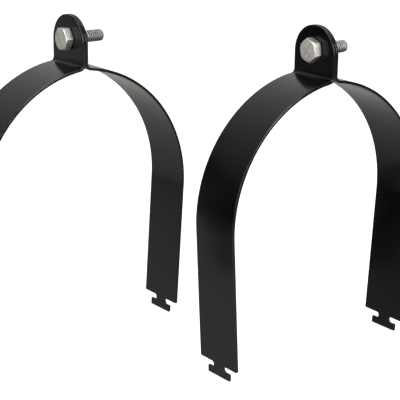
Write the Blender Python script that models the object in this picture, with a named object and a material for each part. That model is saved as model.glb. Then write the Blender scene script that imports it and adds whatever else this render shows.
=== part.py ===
"""Pair of two-piece strap clamps with T-shaped feet.

Each clamp is two identical strap halves bent from flat steel. Their ears lie face to face and
a hex bolt and a nut draw them together. The feet of the straps are T-shaped tabs that lock into
slots of a base. The clamps stand on the tabs, and a tube passes through the hoop along Y.
"""

import math

import bmesh
import bpy
from mathutils import Matrix

# Space left between two pieces that touch on the real object.
GAP = 0.0003

# Strap: flat steel bar, bent to a leg, an arc and an ear.
STRAP_WIDTH = 0.029
STRAP_THICKNESS = 0.0015
ARC_RADIUS = 0.0671
ARC_CENTRE_X = -0.0058
LEG_ANGLE = math.radians(3.3)
LEG_LENGTH = 0.0679
BEND_RADIUS = 0.0028
EAR_LENGTH = 0.0235
EAR_CORNER_RADIUS = 0.0141

# T-shaped tab at the foot of the leg.
TAB_HEAD_WIDTH = 0.017
TAB_HEAD_HEIGHT = 0.0038
TAB_NECK_WIDTH = 0.0078
TAB_NECK_HEIGHT = 0.0029
TAB_CORNER_RADIUS = 0.0005
NOTCH_CORNER_RADIUS = 0.0013
SHOULDER_CORNER_RADIUS = 0.0008

# Quarter-inch hex bolt, 20 threads per inch, and its thin nut.
BOLT_BELOW_EAR_TOP = 0.0122
BOLT_RADIUS = 0.0031
BOLT_LENGTH = 0.0207
BOLT_TIP_CHAMFER = 0.0008
BOLT_HOLE_RADIUS = 0.0036
HEX_ACROSS_FLATS = 0.0109
HEX_CHAMFER_ANGLE = math.radians(30.0)
HEX_CHAMFER_RADIUS = 0.0052
HEAD_HEIGHT = 0.0039
NUT_HEIGHT = 0.0040
NUT_BORE_RADIUS = BOLT_RADIUS + GAP

# The two clamps stand apart by this much, one in front and to the right of the other.
CLAMP_SPACING_X = 0.0831
CLAMP_SPACING_Y = 0.0936

# Name, place along X and Y as a share of the spacing, and turn of the bolt about its axis.
CLAMPS = (
    ("front", 0.5, -0.5, math.radians(-10.0)),
    ("rear", -0.5, 0.5, math.radians(26.0)),
)

ARC_SEGMENTS = 32
BEND_SEGMENTS = 6
CORNER_SEGMENTS = 4
EAR_CORNER_SEGMENTS = 14
ROUND_SEGMENTS = 48

PAINT_COLOUR = (0.012, 0.012, 0.013, 1.0)
STEEL_COLOUR = (0.55, 0.54, 0.51, 1.0)


def clear_scene():
    """Remove every object of the open file."""
    for item in list(bpy.data.objects):
        bpy.data.objects.remove(item, do_unlink=True)


def make_material(name, colour, roughness, metallic):
    """Plain Principled material."""
    material = bpy.data.materials.new(name)
    material.use_nodes = True
    shader = material.node_tree.nodes["Principled BSDF"]
    shader.inputs["Base Color"].default_value = colour
    shader.inputs["Roughness"].default_value = roughness
    shader.inputs["Metallic"].default_value = metallic
    return material


class StrapPath:
    """Centreline of the right-hand strap in the XZ plane, from the tab's end to the ear's top."""

    def __init__(self):
        self.tab_length = TAB_HEAD_HEIGHT + TAB_NECK_HEIGHT
        self.ear_x = 0.5 * (GAP + STRAP_THICKNESS)
        self.bend_x = self.ear_x + BEND_RADIUS
        self.leg_turn = math.pi / 2 + LEG_ANGLE
        self.bend_turn = math.asin((self.bend_x - ARC_CENTRE_X) / (ARC_RADIUS + BEND_RADIUS))

        straight = self.tab_length + LEG_LENGTH
        arc = ARC_RADIUS * (self.leg_turn - self.bend_turn)
        bend = BEND_RADIUS * (math.pi / 2 - self.bend_turn)
        self.arc_start = straight
        self.bend_start = straight + arc
        self.ear_start = straight + arc + bend
        self.length = self.ear_start + EAR_LENGTH

        # The lower inner edge of the tab stands on the plane Z = 0.
        lift = 0.5 * STRAP_THICKNESS * math.sin(LEG_ANGLE)
        self.arc_z = lift + straight * math.cos(LEG_ANGLE) - ARC_RADIUS * math.cos(self.leg_turn)
        self.bend_z = self.arc_z + (ARC_RADIUS + BEND_RADIUS) * math.cos(self.bend_turn)
        self.ear_top = self.bend_z + EAR_LENGTH
        self.bolt_z = self.ear_top - BOLT_BELOW_EAR_TOP

    def at(self, distance):
        """Point on the centreline and the outward normal there, as x, z, normal x, normal z."""
        if distance <= self.arc_start:
            below = self.arc_start - distance
            turn = self.leg_turn
            x = ARC_CENTRE_X + ARC_RADIUS * math.sin(turn) - below * math.sin(LEG_ANGLE)
            z = self.arc_z + ARC_RADIUS * math.cos(turn) - below * math.cos(LEG_ANGLE)
        elif distance <= self.bend_start:
            turn = self.leg_turn - (distance - self.arc_start) / ARC_RADIUS
            x = ARC_CENTRE_X + ARC_RADIUS * math.sin(turn)
            z = self.arc_z + ARC_RADIUS * math.cos(turn)
        elif distance <= self.ear_start:
            turn = self.bend_turn + (distance - self.bend_start) / BEND_RADIUS
            x = self.bend_x - BEND_RADIUS * math.sin(turn)
            z = self.bend_z - BEND_RADIUS * math.cos(turn)
        else:
            turn = math.pi / 2
            x = self.ear_x
            z = self.bend_z + distance - self.ear_start
        return x, z, math.sin(turn), math.cos(turn)

    def stations(self):
        """Distances at which the blank is creased so that it can follow the bends."""
        marks = []
        for start, end, count in (
            (self.arc_start, self.bend_start, ARC_SEGMENTS),
            (self.bend_start, self.ear_start, BEND_SEGMENTS),
        ):
            marks += [start + (end - start) * step / count for step in range(count)]
        return marks + [self.ear_start]


PATH = StrapPath()


def rounded_corner(before, corner, after, radius, segments):
    """Points of the arc that rounds a right-angled corner."""
    towards_before = [math.copysign(min(abs(b - c), 1.0), b - c) for b, c in zip(before, corner)]
    towards_after = [math.copysign(min(abs(a - c), 1.0), a - c) for a, c in zip(after, corner)]
    start_side = [radius if abs(d) > 1e-9 else 0.0 for d in towards_before]
    end_side = [radius if abs(d) > 1e-9 else 0.0 for d in towards_after]
    start = [c + math.copysign(s, d) for c, s, d in zip(corner, start_side, towards_before)]
    end = [c + math.copysign(s, d) for c, s, d in zip(corner, end_side, towards_after)]
    centre = [s + e - c for s, e, c in zip(start, end, corner)]
    points = []
    for step in range(segments + 1):
        turn = 0.5 * math.pi * step / segments
        blend_start = math.cos(turn)
        blend_end = math.sin(turn)
        points.append(
            tuple(
                m + blend_start * (s - m) + blend_end * (e - m)
                for m, s, e in zip(centre, start, end)
            )
        )
    return points


def blank_outline():
    """Outline of the flat strap as (distance along it, distance across it), anticlockwise."""
    half_head = 0.5 * TAB_HEAD_WIDTH
    half_neck = 0.5 * TAB_NECK_WIDTH
    half_width = 0.5 * STRAP_WIDTH
    shoulder = PATH.tab_length
    corners = [
        ((0.0, half_head), TAB_CORNER_RADIUS, CORNER_SEGMENTS),
        ((TAB_HEAD_HEIGHT, half_head), TAB_CORNER_RADIUS, CORNER_SEGMENTS),
        ((TAB_HEAD_HEIGHT, half_neck), NOTCH_CORNER_RADIUS, CORNER_SEGMENTS),
        ((shoulder, half_neck), NOTCH_CORNER_RADIUS, CORNER_SEGMENTS),
        ((shoulder, half_width), SHOULDER_CORNER_RADIUS, CORNER_SEGMENTS),
        ((PATH.length, half_width), EAR_CORNER_RADIUS, EAR_CORNER_SEGMENTS),
    ]
    far_side = []
    ring = [(0.0, 0.0)] + [corner for corner, _, _ in corners] + [(PATH.length, 0.0)]
    for index, (corner, radius, segments) in enumerate(corners):
        far_side += rounded_corner(ring[index], corner, ring[index + 2], radius, segments)
    near_side = [(along, -across) for along, across in far_side]
    return near_side + far_side[::-1]


def strap_mesh():
    """Right-hand strap half with its own origin on the bolt's axis."""
    mesh = bmesh.new()
    lower = [mesh.verts.new((along, across, 0.0)) for along, across in blank_outline()]
    face = mesh.faces.new(lower)
    grown = bmesh.ops.extrude_face_region(mesh, geom=[face])
    upper = [item for item in grown["geom"] if isinstance(item, bmesh.types.BMVert)]
    bmesh.ops.translate(mesh, verts=upper, vec=(0.0, 0.0, STRAP_THICKNESS))
    for distance in PATH.stations():
        everything = mesh.verts[:] + mesh.edges[:] + mesh.faces[:]
        bmesh.ops.bisect_plane(
            mesh, geom=everything, dist=1e-7, plane_co=(distance, 0, 0), plane_no=(1, 0, 0)
        )
    for vertex in mesh.verts:
        along, across, height = vertex.co
        x, z, normal_x, normal_z = PATH.at(along)
        offset = height - 0.5 * STRAP_THICKNESS
        vertex.co = (x + offset * normal_x, across, z + offset * normal_z - PATH.bolt_z)
    bmesh.ops.recalc_face_normals(mesh, faces=mesh.faces[:])
    return finish_mesh("strap_half", mesh)


def hexagon_radius(turn):
    """Distance from the axis to the side of the hexagon, which has a corner at turn zero."""
    sector = math.radians(60.0)
    from_flat = (turn % sector) - 0.5 * sector
    return 0.5 * HEX_ACROSS_FLATS / math.cos(from_flat)


def round_ring(x, radius):
    """Ring of points about the X axis."""
    return [(x, radius)] * ROUND_SEGMENTS


def hexagon_ring(x, chamfer_towards=0.0):
    """Hexagonal ring. With a chamfer, each point sits on the cone that trims the corners."""
    ring = []
    for step in range(ROUND_SEGMENTS):
        radius = hexagon_radius(2 * math.pi * step / ROUND_SEGMENTS)
        drop = max(radius - HEX_CHAMFER_RADIUS, 0.0) * math.tan(HEX_CHAMFER_ANGLE)
        ring.append((x + chamfer_towards * drop, radius))
    return ring


def loft(name, rings, closed):
    """Skin over rings about the X axis. A closed skin joins its last ring to its first."""
    mesh = bmesh.new()
    loops = []
    for ring in rings:
        loop = []
        for step, (x, radius) in enumerate(ring):
            turn = 2 * math.pi * step / ROUND_SEGMENTS
            loop.append(mesh.verts.new((x, -radius * math.sin(turn), radius * math.cos(turn))))
        loops.append(loop)
    pairs = list(zip(loops, loops[1:]))
    if closed:
        pairs.append((loops[-1], loops[0]))
    else:
        mesh.faces.new(loops[0])
        mesh.faces.new(loops[-1])
    for first, second in pairs:
        for step in range(ROUND_SEGMENTS):
            after = (step + 1) % ROUND_SEGMENTS
            mesh.faces.new((first[step], first[after], second[after], second[step]))
    bmesh.ops.recalc_face_normals(mesh, faces=mesh.faces[:])
    return finish_mesh(name, mesh)


def finish_mesh(name, mesh):
    """Turn a bmesh into a mesh that is smooth over its round faces and sharp at its edges."""
    data = bpy.data.meshes.new(name)
    mesh.to_mesh(data)
    mesh.free()
    data.shade_smooth()
    data.set_sharp_from_angle(angle=math.radians(28.0))
    return data


def bolt_mesh():
    """Hex bolt along X, its origin on the plane where the ears meet."""
    under_head = -(0.5 * GAP + STRAP_THICKNESS + GAP)
    front = under_head - HEAD_HEIGHT
    tip = under_head + BOLT_LENGTH
    rings = [
        round_ring(front, HEX_CHAMFER_RADIUS),
        hexagon_ring(front, chamfer_towards=1.0),
        hexagon_ring(under_head),
        round_ring(under_head, BOLT_RADIUS),
        round_ring(tip - BOLT_TIP_CHAMFER, BOLT_RADIUS),
        round_ring(tip, BOLT_RADIUS - BOLT_TIP_CHAMFER),
    ]
    return loft("hex_bolt", rings, closed=False)


def nut_mesh():
    """Thin hex nut behind the right-hand ear, on the same origin as the bolt."""
    front = 0.5 * GAP + STRAP_THICKNESS + GAP
    back = front + NUT_HEIGHT
    rings = [
        round_ring(front, HEX_CHAMFER_RADIUS),
        hexagon_ring(front, chamfer_towards=1.0),
        hexagon_ring(back, chamfer_towards=-1.0),
        round_ring(back, HEX_CHAMFER_RADIUS),
        round_ring(back, NUT_BORE_RADIUS),
        round_ring(front, NUT_BORE_RADIUS),
    ]
    return loft("hex_nut", rings, closed=True)


def hole_cutter(name, location):
    """Cylinder along X that drills the bolt hole through both ears."""
    mesh = bmesh.new()
    bmesh.ops.create_cone(
        mesh,
        cap_ends=True,
        segments=ROUND_SEGMENTS,
        radius1=BOLT_HOLE_RADIUS,
        radius2=BOLT_HOLE_RADIUS,
        depth=8 * STRAP_THICKNESS,
        matrix=Matrix.Rotation(math.pi / 2, 4, "Y"),
    )
    cutter = add_object(name, finish_mesh(name, mesh), None, location)
    cutter.hide_render = True
    cutter.display_type = "WIRE"
    return cutter


def add_object(name, data, material, location):
    """Place a mesh in the scene as a named object."""
    item = bpy.data.objects.new(name, data)
    item.location = location
    if material is not None:
        item.data = data.copy()
        item.data.materials.append(material)
    bpy.context.scene.collection.objects.link(item)
    return item


def add_strap(name, data, material, location, turn, cutter):
    """Strap half with its bolt hole. The left-hand half is the same piece turned about Z."""
    strap = add_object(name, data, material, location)
    strap.rotation_euler = (0.0, 0.0, turn)
    hole = strap.modifiers.new("bolt_hole", "BOOLEAN")
    hole.operation = "DIFFERENCE"
    hole.solver = "EXACT"
    hole.object = cutter
    return strap


def build():
    """Make both clamps."""
    clear_scene()
    strap = strap_mesh()
    bolt = bolt_mesh()
    nut = nut_mesh()
    for name, share_x, share_y, bolt_turn in CLAMPS:
        place = (share_x * CLAMP_SPACING_X, share_y * CLAMP_SPACING_Y, PATH.bolt_z)
        cutter = hole_cutter(f"{name}_hole_cutter", place)
        for side, turn in (("left", math.pi), ("right", 0.0)):
            paint = make_material(f"{name}_{side}_strap_paint", PAINT_COLOUR, 0.35, 0.0)
            add_strap(f"{name}_{side}_strap", strap, paint, place, turn, cutter)
        bolt_steel = make_material(f"{name}_bolt_steel", STEEL_COLOUR, 0.35, 1.0)
        bolt_object = add_object(f"{name}_hex_bolt", bolt, bolt_steel, place)
        bolt_object.rotation_euler = (bolt_turn, 0.0, 0.0)
        nut_steel = make_material(f"{name}_nut_steel", STEEL_COLOUR, 0.35, 1.0)
        add_object(f"{name}_hex_nut", nut, nut_steel, place)


build()
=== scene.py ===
import math

import bmesh
import bpy
import numpy as np
from mathutils import Matrix, Vector


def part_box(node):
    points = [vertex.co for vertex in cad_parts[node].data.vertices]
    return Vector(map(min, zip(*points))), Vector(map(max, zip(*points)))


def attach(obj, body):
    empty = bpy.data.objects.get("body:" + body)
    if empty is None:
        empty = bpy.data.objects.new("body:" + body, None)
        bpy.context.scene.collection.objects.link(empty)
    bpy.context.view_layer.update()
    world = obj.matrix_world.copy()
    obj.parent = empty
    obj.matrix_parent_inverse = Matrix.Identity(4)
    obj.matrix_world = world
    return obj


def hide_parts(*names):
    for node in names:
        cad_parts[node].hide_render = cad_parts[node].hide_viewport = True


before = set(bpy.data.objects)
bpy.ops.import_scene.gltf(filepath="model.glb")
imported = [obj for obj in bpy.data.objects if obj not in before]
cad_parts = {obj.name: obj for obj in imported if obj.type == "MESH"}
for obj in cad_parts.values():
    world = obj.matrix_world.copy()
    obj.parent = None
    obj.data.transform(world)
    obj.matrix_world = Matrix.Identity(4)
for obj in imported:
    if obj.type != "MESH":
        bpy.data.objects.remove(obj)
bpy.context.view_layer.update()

# Strap path, as in the CAD, but here the ears stand 0.04 mm apart instead of 0.3 mm.
EAR_GAP = 0.00004
STRAP_WIDTH = 0.029
STRAP_THICKNESS = 0.0015
ARC_RADIUS = 0.0671
ARC_CENTRE_X = -0.0058
LEG_ANGLE = math.radians(3.3)
LEG_LENGTH = 0.0679
BEND_RADIUS = 0.0028
EAR_CORNER_RADIUS = 0.0141
TAB_HEAD_WIDTH = 0.017
TAB_HEAD_HEIGHT = 0.0038
TAB_NECK_WIDTH = 0.0078
TAB_NECK_HEIGHT = 0.0029
TAB_CORNER_RADIUS = 0.0005
NOTCH_CORNER_RADIUS = 0.0013
SHOULDER_CORNER_RADIUS = 0.0008
BOLT_BELOW_EAR_TOP = 0.0122
BOLT_HOLE_RADIUS = 0.0036

# The paint rounds the punched edges. The band beside each edge carries the wear mask.
EDGE_ROUND = 0.00038
EDGE_BAND = 0.0011
SMALLEST_RADIUS = 0.00003

# Quarter-inch hex bolt with 20 threads per inch, and its thin nut.
THREAD_PITCH = 0.00127
THREAD_RADIUS = 0.0031
THREAD_ROOT_RADIUS = 0.00236
THREAD_CLEARANCE = 0.00008
BOLT_LENGTH = 0.0207
BOLT_TIP_CHAMFER = 0.0008
HEX_ACROSS_FLATS = 0.0109
HEX_CORNER_ROUND = 0.00022
HEX_CHAMFER_ANGLE = math.radians(30.0)
HEX_CHAMFER_RADIUS = 0.0052
HEX_EDGE_ROUND = 0.00009
WASHER_FACE_RADIUS = 0.0051
CAD_EAR_GAP = 0.0003
HEAD_HEIGHT = 0.0039
NUT_HEIGHT = 0.0040
NUT_MOUTH_CLEARANCE = 0.00025
SEAT_GAP = 0.00002

# Thread profile: the crest and the flank as shares of the pitch, and how deep the crest's wear goes
# as a share of the thread's depth.
THREAD_CREST_HALF_WIDTH = 0.06
THREAD_FLANK_WIDTH = 0.32
THREAD_CREST_DEPTH = 0.05

# How finely each shape is cut.
ARC_SEGMENTS = 96
BEND_SEGMENTS = 12
CORNER_SEGMENTS = 6
EAR_CORNER_SEGMENTS = 36
HOLE_SEGMENTS = 64
BEVEL_SEGMENTS = 4
HEX_FLAT_SEGMENTS = 14
HEX_CORNER_SHARES = (-1.0, -0.5, 0.0, 0.5)
ROUNDING_SHARES = (0.0, 0.35, 0.65, 1.0)
HEAD_FACE_SHARES = (0.25, 0.5, 0.75, 0.93)
TIP_FACE_SHARES = (0.94, 0.6, 0.3)
NUT_SEAT_SHARES = (0.7, 0.85)
NUT_BACK_SHARES = (0.85, 0.72)
ROWS_PER_PITCH = 16

# Wear masks, from 0 for an untouched face to 1 for an exposed edge.
FULL_WEAR = 1.0
BEVEL_START_WEAR = 0.55
CHAMFER_WEAR = 0.8
CREST_WEAR = 0.7
SEAT_WEAR = 0.6
WASHER_FACE_WEAR = 0.2

# Groove masks, from 0 for an outer face to 1 for a thread's root. The steel paints shade into the
# grooves by these masks.
THREAD_START_GROOVE = 0.3
TIP_GROOVE = 0.1
NUT_CREST_GROOVE = 0.4

# Name of each clamp and the turn of its bolt about its axis.
CLAMPS = (
    ("front", math.radians(-10.0)),
    ("rear", math.radians(26.0)),
)

# Powder coat. Noise scales are in cycles per metre, colours are linear.
PEEL_SCALE = 750.0
PAINT_GRAIN_SCALE = 3200.0
PAINT_CLOUD_SCALE = 45.0
RUBBED_PATCH_SCALE = 520.0
PAINT_DARK = (0.0006, 0.0006, 0.0008)
PAINT_LIGHT = (0.0014, 0.0013, 0.0012)
PAINT_THIN = (0.010, 0.0105, 0.012)
PAINT_RUBBED = (0.06, 0.06, 0.063)
PAINT_ROUGHNESS = (0.14, 0.22)
PAINT_CLOUD_RANGE = (0.3, 0.7)
RUBBED_PATCH_RANGE = (0.60, 0.72)
EDGE_THINNING = 0.2
EDGE_RUBBING = 0.35
EDGE_DULLING = 0.02
GRAIN_DULLING = 0.03
GRAIN_HEIGHT = 0.25
PAINT_BUMP = 0.07
PAINT_PEEL_HEIGHT = 0.00012
PAINT_IOR = 1.5

# Stainless steel. The roughness runs from dull patches to clean ones.
STEEL_MOTTLE_SCALE = 620.0
STEEL_CLOUD_SCALE = 260.0
STEEL_SPECK_SCALE = 4200.0
STEEL_DULL = (0.48, 0.46, 0.43)
STEEL_CLEAN = (0.80, 0.78, 0.745)
STEEL_EDGE = (0.84, 0.83, 0.80)
# Tint of the painted shade in the thread's roots and the nut's bore.
STEEL_ROOT_SHADE = (0.12, 0.115, 0.105)
STEEL_ROUGHNESS = (0.60, 0.48)
STEEL_LEVEL_RANGE = (0.98, 1.36)
SPECK_SHARE = 0.35
EDGE_BRIGHTENING = 0.4
# How strongly the painted shade darkens the grooves.
ROOT_PAINTED_SHADE = 0.8
EDGE_POLISH = 0.08
ROOT_DULLING = 0.15
SPECK_HEIGHT = 0.4
STEEL_BUMP = 0.22
STEEL_BUMP_HEIGHT = 0.00010

# Camera, held by its place and three angles. The sensor is in millimetres, as the lens is.
CAMERA_PLACE = Vector((-0.396658, -0.528180, 0.275601))
CAMERA_AZIMUTH = math.radians(-37.366)
CAMERA_ELEVATION = math.radians(16.682)
CAMERA_ROLL = math.radians(0.706)
CAMERA_LENS = 120.3
CAMERA_SENSOR = 36.0
CAMERA_NEAR_CLIP = 0.01

# What the straps reflect. Each level maps the cosine to the backdrop's middle, or for the horizon
# the height of the ray, to a brightness: low input, high input, low output, high output.
WHITE = (1.0, 1.0, 1.0)
BACKDROP_DIRECTION = (0.664, 0.664, 0.342)
ROOM_LEVEL = (-0.02, 1.0, 0.0, 0.76)
BEHIND_LEVEL = (-0.35, -1.0, 0.0, 0.32)
PAPER_LEVEL = (-0.1, 0.5, 0.34, 0.56)
NEAR_PAPER_LEVEL = (-0.3, -0.8, 0.0, 0.5)
HORIZON = (-0.185, -0.25, 0.0, 1.0)
HORIZON_TILT = 0.28
HORIZON_LOWEST_FACING = -0.2
WALL_TINT_RANGE = (0.2, 0.9)
ROOM_TINT = (1.02, 0.975, 0.87)
BACKDROP_TINT = (1.0, 0.985, 0.95)
PAPER_TINT_RANGE = (0.2, 0.5)
PAPER_TINT = (0.96, 0.98, 1.03)
FAR_PAPER_TINT = (1.02, 0.98, 0.92)

# Name, direction from the clamps, width, height, power in watts and colour of each softbox.
SOFTBOX_TARGET = Vector((0.0, 0.0, 0.09))
SOFTBOX_DISTANCE = 1.3
SOFTBOXES = (
    ("overhead_softbox", (-0.15, -0.05, 1.0), 0.8, 0.8, 8.0, WHITE),
    ("left_softbox", (-0.93, 0.12, 0.35), 0.6, 0.9, 10.5, (1.0, 0.98, 0.95)),
    ("front_softbox", (0.12, -0.90, 0.38), 0.5, 0.7, 18.0, WHITE),
)

# Paper floor, a sheet that runs away from the camera.
FLOOR_FORWARD = Vector((0.607, 0.795, 0.0))
FLOOR_SIDE = Vector((0.795, -0.607, 0.0))
FLOOR_MIDDLE = Vector((0.0, 0.0, -0.0002))
FLOOR_NEAR_END = -0.9
FLOOR_LENGTH = 3.4
FLOOR_LEFT_SIDE = -0.45
FLOOR_WIDTH = 1.2
FLOOR_STEPS = 8
FLOOR_DARK = (0.50, 0.50, 0.50)
FLOOR_LIGHT = (0.53, 0.53, 0.53)
FLOOR_GLOW = 0.9
FLOOR_ROUGHNESS = (0.7, 0.8)
FIBRE_SCALE = 900.0
FIBRE_BUMP = 0.02
FIBRE_HEIGHT = 0.0001


class StrapPath:
    """Centreline of the right-hand strap in the XZ plane, from the tab's end to the ear's top."""

    def __init__(self, ear_top):
        self.tab_length = TAB_HEAD_HEIGHT + TAB_NECK_HEIGHT
        self.ear_x = 0.5 * (EAR_GAP + STRAP_THICKNESS)
        self.bend_x = self.ear_x + BEND_RADIUS
        self.leg_turn = math.pi / 2 + LEG_ANGLE
        self.bend_turn = math.asin((self.bend_x - ARC_CENTRE_X) / (ARC_RADIUS + BEND_RADIUS))
        straight = self.tab_length + LEG_LENGTH
        lift = 0.5 * STRAP_THICKNESS * math.sin(LEG_ANGLE)
        self.arc_z = lift + straight * math.cos(LEG_ANGLE) - ARC_RADIUS * math.cos(self.leg_turn)
        self.bend_z = self.arc_z + (ARC_RADIUS + BEND_RADIUS) * math.cos(self.bend_turn)
        self.arc_start = straight
        self.bend_start = straight + ARC_RADIUS * (self.leg_turn - self.bend_turn)
        self.ear_start = self.bend_start + BEND_RADIUS * (math.pi / 2 - self.bend_turn)
        self.length = self.ear_start + ear_top - self.bend_z
        self.bolt_z = ear_top - BOLT_BELOW_EAR_TOP
        self.bolt_along = self.length - BOLT_BELOW_EAR_TOP

    def at(self, distance):
        """Point on the centreline and the outward normal there, as x, z, normal x, normal z."""
        if distance <= self.arc_start:
            below = self.arc_start - distance
            turn = self.leg_turn
            x = ARC_CENTRE_X + ARC_RADIUS * math.sin(turn) - below * math.sin(LEG_ANGLE)
            z = self.arc_z + ARC_RADIUS * math.cos(turn) - below * math.cos(LEG_ANGLE)
        elif distance <= self.bend_start:
            turn = self.leg_turn - (distance - self.arc_start) / ARC_RADIUS
            x = ARC_CENTRE_X + ARC_RADIUS * math.sin(turn)
            z = self.arc_z + ARC_RADIUS * math.cos(turn)
        elif distance <= self.ear_start:
            turn = self.bend_turn + (distance - self.bend_start) / BEND_RADIUS
            x = self.bend_x - BEND_RADIUS * math.sin(turn)
            z = self.bend_z - BEND_RADIUS * math.cos(turn)
        else:
            turn = math.pi / 2
            x = self.ear_x
            z = self.bend_z + distance - self.ear_start
        return x, z, math.sin(turn), math.cos(turn)

    def stations(self):
        """Distances at which the blank is creased so that it can follow the bends."""
        marks = []
        for start, end, count in (
            (self.arc_start, self.bend_start, ARC_SEGMENTS),
            (self.bend_start, self.ear_start, BEND_SEGMENTS),
        ):
            marks += [start + (end - start) * step / count for step in range(count)]
        return marks + [self.ear_start]


def corner_arc(corner, inward, outer, radius, segments):
    """Points and outward normals of one rounded right-angled corner.

    inward holds the signs of the direction into the metal. outer is false in a notch, where the
    metal lies outside the arc. The arc runs from the side across the strip to the side along it.
    """
    points = []
    sign = 1.0 if outer else -1.0
    centre = (corner[0] + sign * inward[0] * radius, corner[1] + sign * inward[1] * radius)
    for step in range(segments + 1):
        turn = 0.5 * math.pi * step / segments
        direction = (-sign * inward[0] * math.cos(turn), -sign * inward[1] * math.sin(turn))
        point = (centre[0] + radius * direction[0], centre[1] + radius * direction[1])
        points.append((point, (sign * direction[0], sign * direction[1])))
    return points


def blank_outline(path, inset):
    """Outline of the flat strap, moved inwards by inset, as (point, outward normal) pairs."""
    half_head = 0.5 * TAB_HEAD_WIDTH - inset
    half_neck = 0.5 * TAB_NECK_WIDTH - inset
    half_width = 0.5 * STRAP_WIDTH - inset
    foot = inset
    head_top = TAB_HEAD_HEIGHT - inset
    shoulder = path.tab_length + inset
    top = path.length - inset

    def convex(radius):
        return max(radius - inset, SMALLEST_RADIUS)

    tab = convex(TAB_CORNER_RADIUS)
    notch = NOTCH_CORNER_RADIUS + inset
    count = CORNER_SEGMENTS
    far_side = [((foot, 0.0), (-1.0, 0.0))]
    far_side += corner_arc((foot, half_head), (1, -1), True, tab, count)
    far_side += corner_arc((head_top, half_head), (-1, -1), True, tab, count)[::-1]
    far_side += corner_arc((head_top, half_neck), (-1, -1), False, notch, count)
    far_side += corner_arc((shoulder, half_neck), (1, -1), False, notch, count)[::-1]
    shoulder_radius = convex(SHOULDER_CORNER_RADIUS)
    far_side += corner_arc((shoulder, half_width), (1, -1), True, shoulder_radius, count)
    ear = corner_arc(
        (top, half_width), (-1, -1), True, convex(EAR_CORNER_RADIUS), EAR_CORNER_SEGMENTS
    )
    far_side += ear[::-1] + [((top, 0.0), (1.0, 0.0))]
    near_side = [((a, -c), (na, -nc)) for (a, c), (na, nc) in far_side[-2:0:-1]]
    return far_side + near_side


def hole_outline(path, inset):
    """Edge of the bolt hole, moved into the metal by inset. It starts towards the ear's top."""
    points = []
    for step in range(HOLE_SEGMENTS):
        turn = 2 * math.pi * step / HOLE_SEGMENTS
        direction = (math.cos(turn), math.sin(turn))
        radius = BOLT_HOLE_RADIUS + inset
        point = (path.bolt_along + radius * direction[0], radius * direction[1])
        points.append((point, (-direction[0], -direction[1])))
    return points


def edge_profile():
    """Inset, height, tilt of the normal and wear of each ring, from the lower face to the upper."""
    half = 0.5 * STRAP_THICKNESS
    rings = [(EDGE_BAND, -half, -0.5 * math.pi, 0.0)]
    for step in range(BEVEL_SEGMENTS + 1):
        tilt = -0.5 * math.pi * (1 - step / BEVEL_SEGMENTS)
        inset = EDGE_ROUND * (1 - math.cos(tilt))
        height = -half + EDGE_ROUND + EDGE_ROUND * math.sin(tilt)
        rings.append((inset, height, tilt, BEVEL_START_WEAR if step == 0 else FULL_WEAR))
    rings += [(inset, -height, -tilt, wear) for inset, height, tilt, wear in rings[::-1]]
    return rings


def strap_mesh(path):
    """Right-hand strap half with rounded edges, its own origin on the bolt's axis."""
    mesh = bmesh.new()
    normal_layer = mesh.verts.layers.float_vector.new("face_normal")
    wear_layer = mesh.verts.layers.float.new("edge_wear")

    def ring_of(outline, height, tilt, wear):
        ring = []
        for (along, across), (normal_along, normal_across) in outline:
            vertex = mesh.verts.new((along, across, height))
            side = math.cos(tilt)
            vertex[normal_layer] = (side * normal_along, side * normal_across, math.sin(tilt))
            vertex[wear_layer] = wear
            ring.append(vertex)
        return ring

    caps = []
    for outline_of in (blank_outline, hole_outline):
        rings = [
            ring_of(outline_of(path, inset), height, tilt, wear)
            for inset, height, tilt, wear in edge_profile()
        ]
        for lower, upper in zip(rings, rings[1:]):
            for index in range(len(lower)):
                after = (index + 1) % len(lower)
                mesh.faces.new((lower[index], lower[after], upper[after], upper[index]))
        caps.append((rings[0], rings[-1]))

    # Each flat face is two halves that meet on the centreline, so that the hole is part of it.
    for outer, hole in zip(caps[0], caps[1]):
        ear_middle = next(
            index
            for index, vertex in enumerate(outer)
            if abs(vertex.co.y) < 1e-9 and vertex.co.x > path.ear_start
        )
        half = HOLE_SEGMENTS // 2
        mesh.faces.new(outer[: ear_middle + 1] + hole[: half + 1])
        mesh.faces.new(outer[ear_middle:] + outer[:1] + hole[half:] + hole[:1])

    for distance in path.stations():
        everything = mesh.verts[:] + mesh.edges[:] + mesh.faces[:]
        bmesh.ops.bisect_plane(
            mesh, geom=everything, dist=1e-7, plane_co=(distance, 0, 0), plane_no=(1, 0, 0)
        )
    for vertex in mesh.verts:
        along, across, height = vertex.co
        x, z, normal_x, normal_z = path.at(along)
        vertex.co = (x + height * normal_x, across, z + height * normal_z - path.bolt_z)
        normal_along, normal_across, normal_up = vertex[normal_layer]
        vertex[normal_layer] = (
            normal_up * normal_x - normal_along * normal_z,
            normal_across,
            normal_up * normal_z + normal_along * normal_x,
        )
    bmesh.ops.recalc_face_normals(mesh, faces=mesh.faces[:])
    data = bpy.data.meshes.new("strap_half")
    mesh.to_mesh(data)
    mesh.free()
    data.shade_smooth()
    normals = np.zeros(3 * len(data.vertices), np.float32)
    data.attributes["face_normal"].data.foreach_get("vector", normals)
    data.attributes.remove(data.attributes["face_normal"])
    data.normals_split_custom_set_from_vertices(normals.reshape(-1, 3).tolist())
    return data


def hexagon_turns():
    """Turns about the axis at which a hexagon with rounded corners is sampled."""
    flat_half = math.atan(
        math.tan(math.radians(30)) * (1 - 2 * HEX_CORNER_ROUND / HEX_ACROSS_FLATS)
    )
    corner_half = math.radians(30) - flat_half
    turns = []
    for sector in range(6):
        corner = math.radians(60) * sector
        turns += [corner + corner_half * share for share in HEX_CORNER_SHARES]
        start = corner + corner_half
        span = math.radians(60) - 2 * corner_half
        turns += [start + span * step / HEX_FLAT_SEGMENTS for step in range(HEX_FLAT_SEGMENTS)]
    return turns


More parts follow.
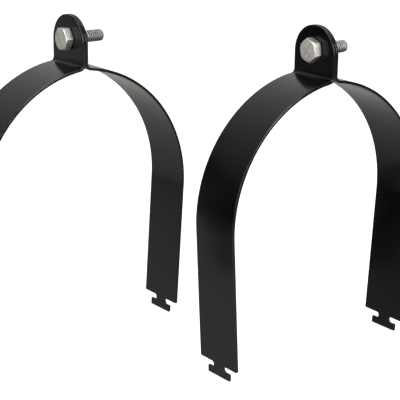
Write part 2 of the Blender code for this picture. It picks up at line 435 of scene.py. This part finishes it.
def hexagon_radius(turn):
    """Distance from the axis to the side of the rounded hexagon, which has a corner at zero."""
    sector = math.radians(60)
    from_flat = (turn % sector) - 0.5 * sector
    flat = 0.5 * HEX_ACROSS_FLATS
    side = flat * math.tan(abs(from_flat))
    if side <= (flat - HEX_CORNER_ROUND) * math.tan(0.5 * sector):
        return flat / math.cos(from_flat)
    centre = (flat - HEX_CORNER_ROUND) / math.cos(0.5 * sector)
    from_corner = 0.5 * sector - abs(from_flat)
    across = centre * math.sin(from_corner)
    return centre * math.cos(from_corner) + math.sqrt(HEX_CORNER_ROUND**2 - across**2)


def rounded_edge(before, corner, after, wear=FULL_WEAR):
    """Points that round a profile's corner, as (x, radius, wear)."""
    points = []
    start = Vector(before) - Vector(corner)
    end = Vector(after) - Vector(corner)
    start = Vector(corner) + start.normalized() * min(HEX_EDGE_ROUND, 0.45 * start.length)
    end = Vector(corner) + end.normalized() * min(HEX_EDGE_ROUND, 0.45 * end.length)
    for share in ROUNDING_SHARES:
        point = (
            (1 - share) ** 2 * start + 2 * share * (1 - share) * Vector(corner) + share**2 * end
        )
        points.append((point.x, point.y, wear))
    return points


def thread_depth(x, turn):
    """Depth of the right-hand thread below its crest, from 0 to 1."""
    phase = (x / THREAD_PITCH - turn / (2 * math.pi)) % 1.0
    from_crest = min(phase, 1.0 - phase)
    flank = min(max((from_crest - THREAD_CREST_HALF_WIDTH) / THREAD_FLANK_WIDTH, 0.0), 1.0)
    return 0.5 * (flank + flank * flank * (3 - 2 * flank))


def thread_radius(x, turn):
    """Radius of the bolt's thread."""
    return THREAD_RADIUS - (THREAD_RADIUS - THREAD_ROOT_RADIUS) * thread_depth(x, turn)


def revolve(name, columns, turns, closed):
    """Skin over the profiles of a round piece about X. Each point is (x, radius, wear, groove)."""
    mesh = bmesh.new()
    wear_layer = mesh.verts.layers.float.new("edge_wear")
    groove_layer = mesh.verts.layers.float.new("groove")

    def vertex_of(x, radius, wear, groove, turn):
        vertex = mesh.verts.new((x, -radius * math.sin(turn), radius * math.cos(turn)))
        vertex[wear_layer] = wear
        vertex[groove_layer] = groove
        return vertex

    grid = [[vertex_of(*point, turn) for point in column] for column, turn in zip(columns, turns)]
    count = len(turns)
    rows = len(columns[0])
    for index in range(count):
        this, after = grid[index], grid[(index + 1) % count]
        for row in range(rows if closed else rows - 1):
            up = (row + 1) % rows
            mesh.faces.new((this[row], after[row], after[up], this[up]))
    if not closed:
        mesh.faces.new([column[0] for column in grid])
        mesh.faces.new([column[-1] for column in grid])
    bmesh.ops.recalc_face_normals(mesh, faces=mesh.faces[:])
    data = bpy.data.meshes.new(name)
    mesh.to_mesh(data)
    mesh.free()
    data.shade_smooth()
    areas = np.zeros(len(data.polygons), np.float32)
    data.polygons.foreach_get("area", areas)
    normals = np.zeros((len(data.vertices), 3))
    for polygon, area in zip(data.polygons, areas):
        normals[list(polygon.vertices)] += np.array(polygon.normal) * area
    normals /= np.linalg.norm(normals, axis=1, keepdims=True)
    data.normals_split_custom_set_from_vertices(normals.tolist())
    return data


def chamfered_end(face_x, towards, turn):
    """Profile of a hexagon's chamfered end, from the flat end face out to the side."""
    outer = hexagon_radius(turn)
    drop = (outer - HEX_CHAMFER_RADIUS) * math.tan(HEX_CHAMFER_ANGLE)
    side_x = face_x + towards * drop
    inner = (face_x, HEX_CHAMFER_RADIUS)
    rim = (side_x, outer)
    centre = (face_x, 0.7 * HEX_CHAMFER_RADIUS)
    along = (side_x + towards * 0.25 * HEAD_HEIGHT, outer)
    inner_edge = rounded_edge(centre, inner, rim, CHAMFER_WEAR)
    return inner_edge + rounded_edge(inner, rim, along)


def bolt_mesh(turns):
    """Hex bolt along X, its origin on the plane where the ears meet."""
    under_head = -(0.5 * CAD_EAR_GAP + STRAP_THICKNESS + CAD_EAR_GAP)
    front = under_head - HEAD_HEIGHT
    tip = under_head + BOLT_LENGTH
    seat = -(0.5 * EAR_GAP + STRAP_THICKNESS + SEAT_GAP)
    rows = int(ROWS_PER_PITCH * (tip - seat) / THREAD_PITCH)
    columns = []
    for turn in turns:
        outer = hexagon_radius(turn)
        points = [(front, share * HEX_CHAMFER_RADIUS, 0.0) for share in HEAD_FACE_SHARES]
        points += chamfered_end(front, 1.0, turn)
        shoulder = (under_head, WASHER_FACE_RADIUS)
        points += rounded_edge((front, outer), (under_head, outer), shoulder)
        points.append((under_head, WASHER_FACE_RADIUS, WASHER_FACE_WEAR))
        seat_edge = (seat, WASHER_FACE_RADIUS)
        points += rounded_edge(shoulder, seat_edge, (seat, THREAD_RADIUS), SEAT_WEAR)
        profile = [(x, radius, wear, 0.0) for x, radius, wear in points]
        profile.append((seat, THREAD_RADIUS, 0.0, THREAD_START_GROOVE))
        for row in range(1, rows + 1):
            x = seat + (tip - seat) * row / rows
            limit = THREAD_RADIUS - BOLT_TIP_CHAMFER + (tip - x)
            deep = thread_depth(x, turn)
            radius = min(thread_radius(x, turn), limit)
            wear = CREST_WEAR if deep < THREAD_CREST_DEPTH else 0.0
            profile.append((x, radius, wear, deep))
        end_radius = profile[-1][1]
        profile += [(tip, share * end_radius, 0.0, TIP_GROOVE) for share in TIP_FACE_SHARES]
        columns.append(profile)
    return revolve("hex_bolt", columns, turns, closed=False)


def nut_mesh(turns, thread_turn):
    """Thin hex nut behind the right-hand ear. Its thread is in step with the bolt's."""
    front = 0.5 * CAD_EAR_GAP + STRAP_THICKNESS + CAD_EAR_GAP
    back = front + NUT_HEIGHT
    seat = 0.5 * EAR_GAP + STRAP_THICKNESS + SEAT_GAP
    mouth = THREAD_RADIUS + NUT_MOUTH_CLEARANCE
    rows = int(ROWS_PER_PITCH * (back - seat) / THREAD_PITCH)
    columns = []
    for turn in turns:
        outer = hexagon_radius(turn)
        points = [(seat, share * WASHER_FACE_RADIUS, 0.0) for share in NUT_SEAT_SHARES]
        shoulder = (front, WASHER_FACE_RADIUS)
        points += rounded_edge((seat, mouth), (seat, WASHER_FACE_RADIUS), shoulder)
        points.append((front, WASHER_FACE_RADIUS, WASHER_FACE_WEAR))
        points += rounded_edge(shoulder, (front, outer), (back, outer))
        points += chamfered_end(back, -1.0, turn)[::-1]
        points += [(back, share * WASHER_FACE_RADIUS, 0.0) for share in NUT_BACK_SHARES]
        profile = [(x, radius, wear, 0.0) for x, radius, wear in points]
        for row in range(rows, -1, -1):
            x = seat + (back - seat) * row / rows
            mouth_radius = mouth - min(x - seat, back - x)
            deep = thread_depth(x, turn - thread_turn)
            radius = max(thread_radius(x, turn - thread_turn) + THREAD_CLEARANCE, mouth_radius)
            # The nut's bore gets a high groove mask all through, so painted shade darkens the whole
            # bore.
            profile.append((x, radius, 0.0, 1.0 - (1.0 - NUT_CREST_GROOVE) * deep))
        columns.append(profile)
    return revolve("hex_nut", columns, turns, closed=True)


class NodeTree:
    """Short way to write a material's or the world's node tree."""

    def __init__(self, tree):
        self.tree = tree
        tree.nodes.clear()

    def add(self, kind, **settings):
        node = self.tree.nodes.new(kind)
        for key, value in settings.items():
            setattr(node, key, value)
        return node

    def link(self, source, target):
        self.tree.links.new(source, target)

    def feed(self, socket, value):
        """Sets a socket to a number or a colour, or links another node's output to it."""
        if isinstance(value, tuple):
            socket.default_value = (*value, 1.0)
        elif isinstance(value, float):
            socket.default_value = value
        else:
            self.link(value, socket)

    def remap(self, source, low, high, new_low, new_high):
        node = self.add("ShaderNodeMapRange")
        values = (low, high, new_low, new_high)
        for key, value in zip(("From Min", "From Max", "To Min", "To Max"), values):
            node.inputs[key].default_value = value
        self.link(source, node.inputs["Value"])
        return node.outputs["Result"]

    def math(self, operation, first, second):
        node = self.add("ShaderNodeMath", operation=operation)
        self.feed(node.inputs[0], first)
        self.feed(node.inputs[1], second)
        return node.outputs[0]

    def mix(self, factor, first, second, kind="RGBA"):
        node = self.add("ShaderNodeMix", data_type=kind)
        sockets = [socket for socket in node.inputs if socket.enabled]
        for socket, value in zip(sockets, (factor, first, second)):
            self.feed(socket, value)
        return next(socket for socket in node.outputs if socket.enabled)

    def noise(self, coordinates, scale, detail, roughness=0.5):
        node = self.add("ShaderNodeTexNoise")
        node.inputs["Scale"].default_value = scale
        node.inputs["Detail"].default_value = detail
        node.inputs["Roughness"].default_value = roughness
        self.link(coordinates, node.inputs["Vector"])
        return node.outputs["Fac"]

    def coordinates(self, offset):
        place = self.add("ShaderNodeTexCoord")
        moved = self.add("ShaderNodeMapping")
        moved.inputs["Location"].default_value = offset
        self.link(place.outputs["Object"], moved.inputs["Vector"])
        return moved.outputs["Vector"]

    def attribute(self, name):
        node = self.add("ShaderNodeAttribute", attribute_name=name)
        return node.outputs["Fac"]

    def surface(self, colour, roughness, metallic, height, bump_strength, bump_distance, **values):
        shader = self.add("ShaderNodeBsdfPrincipled")
        output = self.add("ShaderNodeOutputMaterial")
        shader.inputs["Metallic"].default_value = metallic
        for key, value in values.items():
            shader.inputs[key.replace("_", " ")].default_value = value
        self.link(colour, shader.inputs["Base Color"])
        self.link(roughness, shader.inputs["Roughness"])
        bump = self.add("ShaderNodeBump")
        bump.inputs["Strength"].default_value = bump_strength
        bump.inputs["Distance"].default_value = bump_distance
        self.link(height, bump.inputs["Height"])
        self.link(bump.outputs["Normal"], shader.inputs["Normal"])
        self.link(shader.outputs["BSDF"], output.inputs["Surface"])


def paint_material(name, offset):
    """Semi-gloss black powder coat: fine orange peel, cloudy gloss, thin paint on the edges."""
    material = bpy.data.materials.new(name)
    material.use_nodes = True
    nodes = NodeTree(material.node_tree)
    place = nodes.coordinates(offset)
    peel = nodes.noise(place, PEEL_SCALE, 2.0)
    grain = nodes.noise(place, PAINT_GRAIN_SCALE, 1.0)
    cloud = nodes.noise(place, PAINT_CLOUD_SCALE, 4.0, 0.6)
    patches = nodes.noise(place, RUBBED_PATCH_SCALE, 5.0, 0.65)

    edge = nodes.attribute("edge_wear")
    rubbed = nodes.math("MULTIPLY", edge, nodes.remap(patches, *RUBBED_PATCH_RANGE, 0.0, 1.0))
    tint = nodes.mix(cloud, PAINT_DARK, PAINT_LIGHT)
    tint = nodes.mix(nodes.math("MULTIPLY", edge, EDGE_THINNING), tint, PAINT_THIN)
    tint = nodes.mix(nodes.math("MULTIPLY", rubbed, EDGE_RUBBING), tint, PAINT_RUBBED)
    gloss = nodes.remap(cloud, *PAINT_CLOUD_RANGE, *PAINT_ROUGHNESS)
    gloss = nodes.math("ADD", gloss, nodes.math("MULTIPLY", edge, EDGE_DULLING))
    gloss = nodes.math("ADD", gloss, nodes.math("MULTIPLY", grain, GRAIN_DULLING))
    height = nodes.math("ADD", peel, nodes.math("MULTIPLY", grain, GRAIN_HEIGHT))
    nodes.surface(tint, gloss, 0.0, height, PAINT_BUMP, PAINT_PEEL_HEIGHT, IOR=PAINT_IOR)
    return material


def steel_material(name, offset):
    """Satin stainless steel: mottled, brighter on its edges, dull and darkened by painted shade in
    the thread's roots.
    """
    material = bpy.data.materials.new(name)
    material.use_nodes = True
    nodes = NodeTree(material.node_tree)
    place = nodes.coordinates(offset)
    mottle = nodes.noise(place, STEEL_MOTTLE_SCALE, 4.0, 0.5)
    cloud = nodes.noise(place, STEEL_CLOUD_SCALE, 2.0)
    speck = nodes.noise(place, STEEL_SPECK_SCALE, 2.0)
    edge = nodes.attribute("edge_wear")
    groove = nodes.attribute("groove")

    level = nodes.math("ADD", mottle, cloud)
    level = nodes.math("ADD", level, nodes.math("MULTIPLY", speck, SPECK_SHARE))
    level = nodes.remap(level, *STEEL_LEVEL_RANGE, 0.0, 1.0)
    tint = nodes.mix(level, STEEL_DULL, STEEL_CLEAN)
    tint = nodes.mix(nodes.math("MULTIPLY", edge, EDGE_BRIGHTENING), tint, STEEL_EDGE)
    # Painted shade: the thread's roots and the nut's bore are darkened towards a near-black tint.
    tint = nodes.mix(nodes.math("MULTIPLY", groove, ROOT_PAINTED_SHADE), tint, STEEL_ROOT_SHADE)
    gloss = nodes.remap(level, 0.0, 1.0, *STEEL_ROUGHNESS)
    gloss = nodes.math("SUBTRACT", gloss, nodes.math("MULTIPLY", edge, EDGE_POLISH))
    gloss = nodes.math("ADD", gloss, nodes.math("MULTIPLY", groove, ROOT_DULLING))
    height = nodes.math("ADD", mottle, nodes.math("MULTIPLY", speck, SPECK_HEIGHT))
    nodes.surface(tint, gloss, 1.0, height, STEEL_BUMP, STEEL_BUMP_HEIGHT)
    return material


def place_piece(name, data, material, node, body, location, rotation):
    """Puts a piece where its CAD node is and hides the node."""
    piece = bpy.data.objects.new(name, data.copy())
    piece.data.name = name
    piece.data.materials.append(material)
    piece.location = location
    piece.rotation_euler = rotation
    bpy.context.scene.collection.objects.link(piece)
    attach(piece, body)
    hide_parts(node)


def build_clamps():
    """Both clamps, each where its CAD nodes are."""
    ear_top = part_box("front_left_strap")[1].z
    path = StrapPath(ear_top)
    strap = strap_mesh(path)
    turns = hexagon_turns()
    bolt = bolt_mesh(turns)
    for index, (clamp, bolt_turn) in enumerate(CLAMPS):
        low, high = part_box(f"{clamp}_hex_nut")
        centre = Vector((0.0, 0.5 * (low.y + high.y), path.bolt_z))
        centre.x = low.x - (0.5 * CAD_EAR_GAP + STRAP_THICKNESS + CAD_EAR_GAP)
        for side, turn in (("left", math.pi), ("right", 0.0)):
            offset = (0.31 * index, 0.17 if side == "left" else 0.0, 0.07)
            place_piece(
                f"{clamp}_{side}_painted_strap",
                strap,
                paint_material(f"{clamp}_{side}_powder_coat", offset),
                f"{clamp}_{side}_strap",
                f"{clamp}_{side}_half",
                centre,
                (0.0, 0.0, turn),
            )
        place_piece(
            f"{clamp}_threaded_bolt",
            bolt,
            steel_material(f"{clamp}_bolt_satin_steel", (0.05 * index, 0.11, 0.0)),
            f"{clamp}_hex_bolt",
            f"{clamp}_bolt",
            centre,
            (bolt_turn, 0.0, 0.0),
        )
        place_piece(
            f"{clamp}_threaded_nut",
            nut_mesh(turns, bolt_turn),
            steel_material(f"{clamp}_nut_satin_steel", (0.05 * index, 0.0, 0.13)),
            f"{clamp}_hex_nut",
            f"{clamp}_nut",
            centre,
            (0.0, 0.0, 0.0),
        )


def add_camera():
    """Camera with its axes built from azimuth, elevation and roll."""
    back = Vector(
        (
            math.sin(CAMERA_AZIMUTH) * math.cos(CAMERA_ELEVATION),
            -math.cos(CAMERA_AZIMUTH) * math.cos(CAMERA_ELEVATION),
            math.sin(CAMERA_ELEVATION),
        )
    )
    level_right = (-back).cross(Vector((0, 0, 1))).normalized()
    level_up = level_right.cross(-back)
    right = math.cos(CAMERA_ROLL) * level_right + math.sin(CAMERA_ROLL) * level_up
    up = math.cos(CAMERA_ROLL) * level_up - math.sin(CAMERA_ROLL) * level_right
    data = bpy.data.cameras.new("photo_camera")
    data.lens = CAMERA_LENS
    data.sensor_width = CAMERA_SENSOR
    data.clip_start = CAMERA_NEAR_CLIP
    camera = bpy.data.objects.new("photo_camera", data)
    axes = Matrix((right, up, back)).transposed()
    camera.matrix_world = Matrix.Translation(CAMERA_PLACE) @ axes.to_4x4()
    bpy.context.scene.collection.objects.link(camera)
    bpy.context.scene.camera = camera


def add_softbox(name, direction, width, height, power, colour):
    """Large soft light that faces the clamps."""
    data = bpy.data.lights.new(name, "AREA")
    data.shape = "RECTANGLE"
    data.size = width
    data.size_y = height
    data.energy = power
    data.color = colour
    light = bpy.data.objects.new(name, data)
    light.location = SOFTBOX_TARGET + Vector(direction).normalized() * SOFTBOX_DISTANCE
    light.rotation_euler = Vector(direction).to_track_quat("Z", "Y").to_euler()
    light.visible_camera = False
    bpy.context.scene.collection.objects.link(light)


def add_world():
    """White to the camera; to the object, a dim room with a bright backdrop and a pale floor."""
    world = bpy.data.worlds.new("studio")
    bpy.context.scene.world = world
    world.use_nodes = True
    nodes = NodeTree(world.node_tree)
    place = nodes.add("ShaderNodeTexCoord")
    product = nodes.add("ShaderNodeVectorMath", operation="DOT_PRODUCT")
    product.inputs[1].default_value = BACKDROP_DIRECTION
    nodes.link(place.outputs["Generated"], product.inputs[0])
    facing = product.outputs["Value"]
    parts = nodes.add("ShaderNodeSeparateXYZ")
    nodes.link(place.outputs["Generated"], parts.inputs[0])

    room = nodes.remap(facing, *ROOM_LEVEL)
    room = nodes.math("ADD", room, nodes.remap(facing, *BEHIND_LEVEL))
    paper = nodes.remap(facing, *PAPER_LEVEL)
    paper = nodes.math("ADD", paper, nodes.remap(facing, *NEAR_PAPER_LEVEL))
    near = nodes.math("MAXIMUM", facing, HORIZON_LOWEST_FACING)
    slope = nodes.math("SUBTRACT", parts.outputs["Z"], nodes.math("MULTIPLY", near, HORIZON_TILT))
    below = nodes.remap(slope, *HORIZON)
    level = nodes.mix(below, room, paper, "FLOAT")

    wall = nodes.remap(facing, *WALL_TINT_RANGE, 0.0, 1.0)
    wall = nodes.mix(wall, ROOM_TINT, BACKDROP_TINT)
    sheet = nodes.remap(facing, *PAPER_TINT_RANGE, 0.0, 1.0)
    sheet = nodes.mix(sheet, PAPER_TINT, FAR_PAPER_TINT)
    tint = nodes.mix(below, wall, sheet)
    to_camera = nodes.add("ShaderNodeLightPath").outputs["Is Camera Ray"]
    background = nodes.add("ShaderNodeBackground")
    nodes.link(nodes.mix(to_camera, tint, WHITE), background.inputs["Color"])
    strength = nodes.mix(to_camera, level, 1.0, "FLOAT")
    nodes.link(strength, background.inputs["Strength"])
    output = nodes.add("ShaderNodeOutputWorld")
    nodes.link(background.outputs["Background"], output.inputs["Surface"])


def add_floor():
    """White paper sheet that the clamps stand on."""
    mesh = bmesh.new()
    grid = []
    for row in range(FLOOR_STEPS + 1):
        line = []
        for column in range(FLOOR_STEPS + 1):
            along = FLOOR_NEAR_END + FLOOR_LENGTH * row / FLOOR_STEPS
            across = FLOOR_LEFT_SIDE + FLOOR_WIDTH * column / FLOOR_STEPS
            place = FLOOR_MIDDLE + FLOOR_FORWARD * along + FLOOR_SIDE * across
            line.append(mesh.verts.new(place))
        grid.append(line)
    for near, far in zip(grid, grid[1:]):
        for column in range(FLOOR_STEPS):
            mesh.faces.new((near[column], near[column + 1], far[column + 1], far[column]))
    bmesh.ops.recalc_face_normals(mesh, faces=mesh.faces[:])
    data = bpy.data.meshes.new("floor")
    mesh.to_mesh(data)
    mesh.free()
    material = bpy.data.materials.new("floor_paper")
    material.use_nodes = True
    nodes = NodeTree(material.node_tree)
    fibre = nodes.noise(nodes.coordinates((0.0, 0.0, 0.0)), FIBRE_SCALE, 3.0)
    tint = nodes.mix(fibre, FLOOR_DARK, FLOOR_LIGHT)
    gloss = nodes.remap(fibre, 0.0, 1.0, *FLOOR_ROUGHNESS)
    glow = {"Emission_Strength": FLOOR_GLOW, "Emission_Color": (*WHITE, 1.0)}
    nodes.surface(tint, gloss, 0.0, fibre, FIBRE_BUMP, FIBRE_HEIGHT, **glow)
    data.materials.append(material)
    floor = bpy.data.objects.new("floor", data)
    bpy.context.scene.collection.objects.link(floor)
    floor.visible_glossy = False


add_camera()
add_world()
add_floor()
for softbox in SOFTBOXES:
    add_softbox(*softbox)
build_clamps()
bpy.context.scene.view_settings.view_transform = "Standard"
